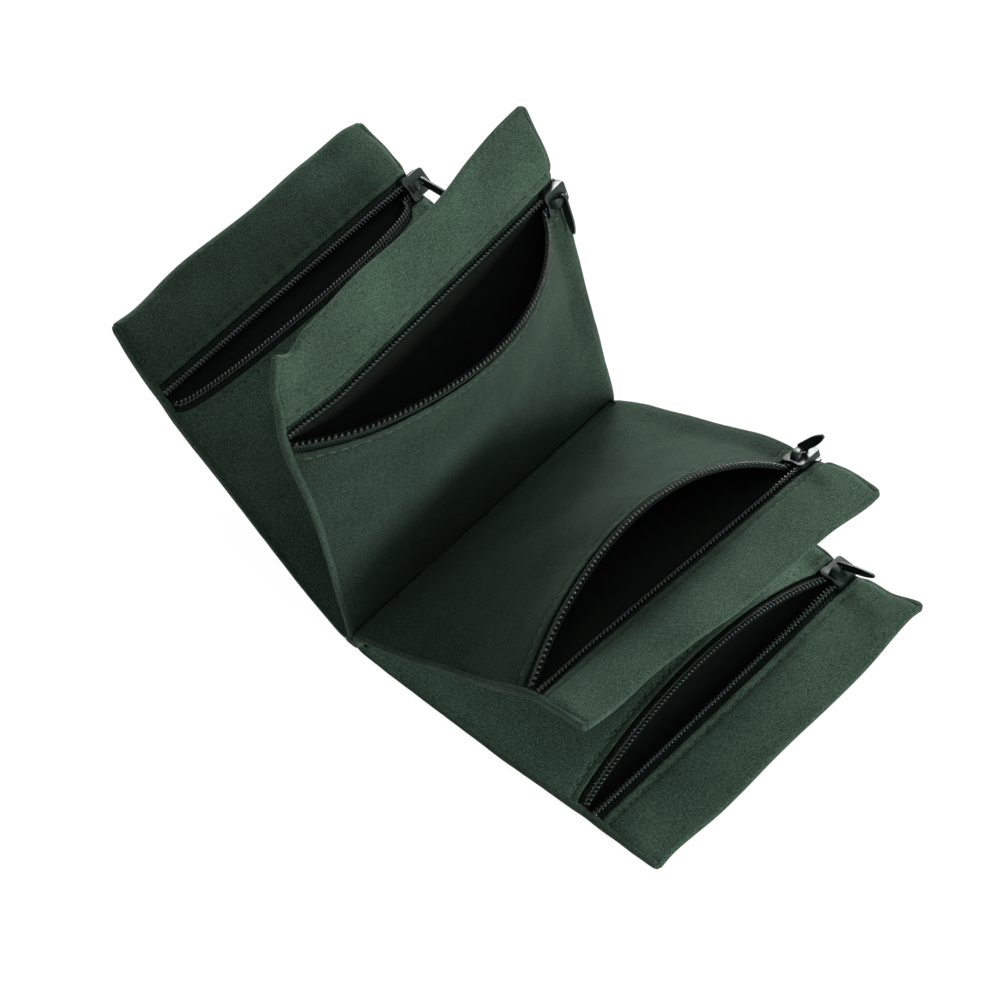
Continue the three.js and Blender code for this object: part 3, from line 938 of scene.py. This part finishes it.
# One row of teeth: a flattened spiral of filament with a thread sewn over it, and the
# herringbone that holds it to the tape.
def coilRow(wing, away):
    look = coilLook
    middle = (look["inner"] + look["outer"]) / 2
    halfWide = (look["outer"] - look["inner"]) / 2 - look["wire"]
    level = (zipper["coilBottom"] + zipper["coilTop"]) / 2
    halfHigh = (zipper["coilTop"] - zipper["coilBottom"]) / 2 - look["wire"]

    def filament(i):
        angle = 2 * math.pi * i / look["turn"]
        return middle + halfWide * math.cos(angle), level + halfHigh * roundish(math.sin(angle))

    def sewnThread(i):
        rise = look["threadRise"] * math.cos(math.pi * i / 2)
        return middle + look["threadOut"], zipper["coilTop"] + rise

    def herringbone(i):
        return look["legOuter"] if i % 2 else look["legInner"], look["legLevel"]

    name = sideName(wing, away)
    points = rowPoints(wing, away, look["turn"], filament)
    sizes = []
    for i in range(len(points)):
        inner = (1 - math.cos(2 * math.pi * i / look["turn"])) / 2  # 1 at the tooth's head
        sizes.append(mix(look["back"], look["head"], inner ** look["headPower"]))
    teeth = tubeThrough(name + "_teeth", points, look["wire"], 1, nylon, sizes)
    dress(teeth, "zip_coil", wing["name"], name + "_coil")
    points = rowPoints(wing, away, look["threadSteps"], sewnThread)
    sewn = tubeThrough(name + "_coil_thread", points, look["threadRadius"], 0, coilThread)
    dress(sewn, "zip_tape", wing["name"])
    points = rowPoints(wing, away, 2, herringbone)
    legs = tubeThrough(name + "_herringbone", points, look["legRadius"], 1, nylon)
    dress(legs, "zip_coil", wing["name"])


# Topstitching

stitch = {
    "length": 2.0,
    "pitch": 2.75,
    "radius": 0.2,
    "end": 55.5,  # first and last stitch from the spine's middle
    "jitter": 0.12,  # how far a stitch strays from the row
    "lift": 0.12,  # of its middle, off the suede
    "sunk": 0.28,  # of its ends
    # Size and height of the flat dark disc painted as the shade in each needle hole
    "holeShadeLength": 1.1,
    "holeShadeWidth": 0.4,
    "holeShadeLift": 0.04,
    "holeShadeHeight": 0.06,
    "roundness": 0.6,  # how blunt the stitch's ends are
    "segments": 8,
    "rings": 6,
}


# Topstitching beside the zip, each stitch sunk in the suede between its two holes, with a flat dark
# disc of painted shade in each hole.
def stitchRow(wing, away):
    line = zipLine(wing)
    out = zipper["clothEdge"] + zipper["stitchIn"]
    seed = wing["seed"] + (0 if away > 0 else 2)
    put = rowPlace(away)
    s = line + away * out
    base = zipper["clothLevel"] if away > 0 else frontLevel(wing, s)

    def surface(x, across=0.0, up=0.0):
        n = base + stitched(s, s, x, seed) + pouch["ply"] / 2 + up
        return put(wing, x, s + across, n)

    deselect()
    bpy.ops.mesh.primitive_uv_sphere_add(
        segments=stitch["segments"], ring_count=stitch["rings"], radius=1
    )
    model = bpy.context.object
    shape = [v.co.copy() for v in model.data.vertices]
    faces = [tuple(p.vertices) for p in model.data.polygons]
    bpy.data.objects.remove(model, do_unlink=True)
    vertices = []
    polygons = []
    for i in range(int(2 * stitch["end"] / stitch["pitch"]) + 1):
        x = -stitch["end"] + i * stitch["pitch"]
        jitter = stitch["jitter"] * noise.noise(Vector((x, seed, 4)))
        polygons += [tuple(len(vertices) + j for j in face) for face in faces]
        for v in shape:
            blunt = math.copysign(abs(v.z) ** stitch["roundness"], v.z)
            along = x + blunt * stitch["length"] / 2
            sunk = stitch["sunk"] * abs(v.z) ** 3
            up = v.y * stitch["radius"] * 0.9 - sunk + stitch["lift"]
            vertices.append(surface(along, v.x * stitch["radius"] + jitter, up))
        polygons += [tuple(len(vertices) + j for j in face) for face in faces]
        for v in shape:
            along = x + stitch["pitch"] / 2 + v.z * stitch["holeShadeLength"] / 2
            up = stitch["holeShadeLift"] + v.y * stitch["holeShadeHeight"]
            vertices.append(surface(along, v.x * stitch["holeShadeWidth"] + jitter, up))
    name = sideName(wing, away) + "_stitching"
    mesh = bpy.data.meshes.new(name)
    mesh.from_pydata(vertices, [], polygons)
    # One thread on both rows: painted lit on the panels with the pale thread, and shaded on the
    # hems with the suede's colour.
    mesh.materials.append(suede if away > 0 else thread)
    mesh.materials.append(needleHoleShade)
    # Every other sphere is a disc of painted shade in a needle hole.
    for face in mesh.polygons:
        face.material_index = face.index // len(faces) % 2  # stitch and hole in turn
    piece = bpy.data.objects.new(name, mesh)
    bpy.context.collection.objects.link(piece)
    tidyMesh(piece)
    smoothShade(piece)
    dress(piece, "suede", wing["name"])


# Sliders and pull tabs

casting = {
    "edge": 0.28,  # rounding of its edges
    "segments": 3,
    "flatBelow": 2,  # degrees between faces that are one flat
    "edgeFrom": 35,  # degrees from which an edge is rounded
    "smoothBelow": 60,
}


# The zinc casting with its edges rounded, in the place of the plain one.
def cast(node, name, body):
    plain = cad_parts[node]
    piece = bpy.data.objects.new(name, plain.data.copy())
    piece.data.transform(plain.matrix_world)
    piece.data.materials.clear()
    bpy.context.collection.objects.link(piece)
    tidyMesh(piece)
    pick(piece)
    bpy.ops.object.mode_set(mode="EDIT")
    bpy.ops.mesh.select_all(action="SELECT")
    bpy.ops.mesh.dissolve_limited(angle_limit=math.radians(casting["flatBelow"]))
    bpy.ops.object.mode_set(mode="OBJECT")
    modify(
        piece,
        "BEVEL",
        width=casting["edge"] * millimetre,
        segments=casting["segments"],
        limit_method="ANGLE",
        angle_limit=math.radians(casting["edgeFrom"]),
        harden_normals=False,
    )
    piece.data.materials.append(enamel)
    smoothShade(piece, casting["smoothBelow"])
    dress(piece, "slider_metal", body, node)


def makeWing(wing):
    name = wing["name"]
    backCloth(wing)
    panelCloth(wing)
    for end in (-1, 1):
        sideRoll(wing, end)
    for away in (1, -1):
        tapeSheet(wing, away)
        coilRow(wing, away)
        stitchRow(wing, away)
    cast(name + "_slider", name + "_slider_casting", name + "_slider")
    cast(name + "_pull_tab", name + "_tab_blade", name + "_pull_tab")
    print(name, "made")


spineRoll()
for wing in wings:
    makeWing(wing)

# Floor, light and camera

studio = {
    "floor": "#f4f4f3",
    "floorSize": 12,  # metres
    "glow": 1.06,
    "floorGlow": 0.9,  # how much of the floor's white is for the camera alone
    "azimuth": -47.8,
    "elevation": 55.1,
    "distance": 1.6176,
    "lens": 191.05,
    "shift": (0.015, 0.0242),
    "sky": 0.06,
}

# Where each lamp's light comes from in metres, its strength, and how soft it is: degrees for a
# distant light, metres across for a softbox
lamps = {
    "right key": ("SUN", (0.12, -0.95, 0.37), 3.0, math.radians(15)),
    "left fill": ("SUN", (0.6, 0.75, 0.35), 3.1, math.radians(25)),
    "overhead": ("SUN", (0.1, -0.1, 1.0), 0.5, math.radians(40)),
    "right softbox": ("AREA", (0.1, -0.5, 0.25), 0.53, 0.22),
    "far softbox": ("AREA", (0.35, 0.3, 0.35), 0.42, 0.22),
    "low far softbox": ("AREA", (0.26, 0.1, 0.16), 0.26, 0.22),
}


# Plain matt floor. The camera sees it mostly as plain white, so its shadow stays faint.
def paleFloor():
    deselect()
    bpy.ops.mesh.primitive_plane_add(size=studio["floorSize"], location=(0, 0, 0))
    floor = bpy.context.object
    floor.name = "floor"
    material, tree, shader = newMaterial("pale floor")
    setShader(shader, {"Base Color": colour(studio["floor"]), "Roughness": 0.9})
    setShader(shader, {"Specular IOR Level": 0.1})
    path = addNode(tree, "ShaderNodeLightPath")
    glow = addNode(tree, "ShaderNodeEmission", {"Color": (1, 1, 1, 1), "Strength": studio["glow"]})
    seen = addNode(tree, "ShaderNodeMath", {"operation": "MAXIMUM"})
    tree.links.new(path.outputs["Is Camera Ray"], seen.inputs[0])
    tree.links.new(path.outputs["Is Glossy Ray"], seen.inputs[1])
    share = addNode(tree, "ShaderNodeMath", {"operation": "MULTIPLY"}, {0: seen.outputs["Value"]})
    share.inputs[1].default_value = studio["floorGlow"]
    both = addNode(tree, "ShaderNodeMixShader")
    tree.links.new(share.outputs["Value"], both.inputs[0])
    tree.links.new(shader.outputs["BSDF"], both.inputs[1])
    tree.links.new(glow.outputs["Emission"], both.inputs[2])
    tree.links.new(both.outputs["Shader"], tree.nodes["Material Output"].inputs["Surface"])
    floor.data.materials.append(material)


def light():
    world = bpy.data.worlds.new("studio")
    bpy.context.scene.world = world
    world.use_nodes = True
    tree = world.node_tree
    background = tree.nodes["Background"]
    path = addNode(tree, "ShaderNodeLightPath")
    seen = addNode(tree, "ShaderNodeMath", {"operation": "MAXIMUM"})
    tree.links.new(path.outputs["Is Camera Ray"], seen.inputs[0])
    tree.links.new(path.outputs["Is Glossy Ray"], seen.inputs[1])
    level = addNode(
        tree,
        "ShaderNodeMix",
        {"data_type": "FLOAT", "A": studio["sky"], "B": 1.0},
        {"Factor": seen.outputs["Value"]},
    )
    tree.links.new(level.outputs["Result"], background.inputs["Strength"])
    background.inputs["Color"].default_value = (1, 1, 1, 1)

    for name, (kind, source, strength, softness) in lamps.items():
        deselect()
        bpy.ops.object.light_add(type=kind, location=source)
        lamp = bpy.context.object
        lamp.name = name
        lamp.data.energy = strength
        if kind == "SUN":
            lamp.data.angle = softness
        else:
            lamp.data.size = softness
        lamp.rotation_euler = Vector(source).to_track_quat("Z", "Y").to_euler()


def camera():
    azimuth = math.radians(studio["azimuth"])
    elevation = math.radians(studio["elevation"])
    back = Vector(
        (
            math.sin(azimuth) * math.cos(elevation),
            -math.cos(azimuth) * math.cos(elevation),
            math.sin(elevation),
        )
    )
    right = Vector((math.cos(azimuth), math.sin(azimuth), 0))
    turn = Matrix((right, back.cross(right), back)).transposed().to_euler()
    deselect()
    bpy.ops.object.camera_add(location=back * studio["distance"], rotation=turn)
    eye = bpy.context.object
    eye.data.lens = studio["lens"]
    eye.data.shift_x, eye.data.shift_y = studio["shift"]
    bpy.context.scene.camera = eye


paleFloor()
light()
camera()
bpy.context.scene.view_settings.view_transform = "Standard"
print("studio made")
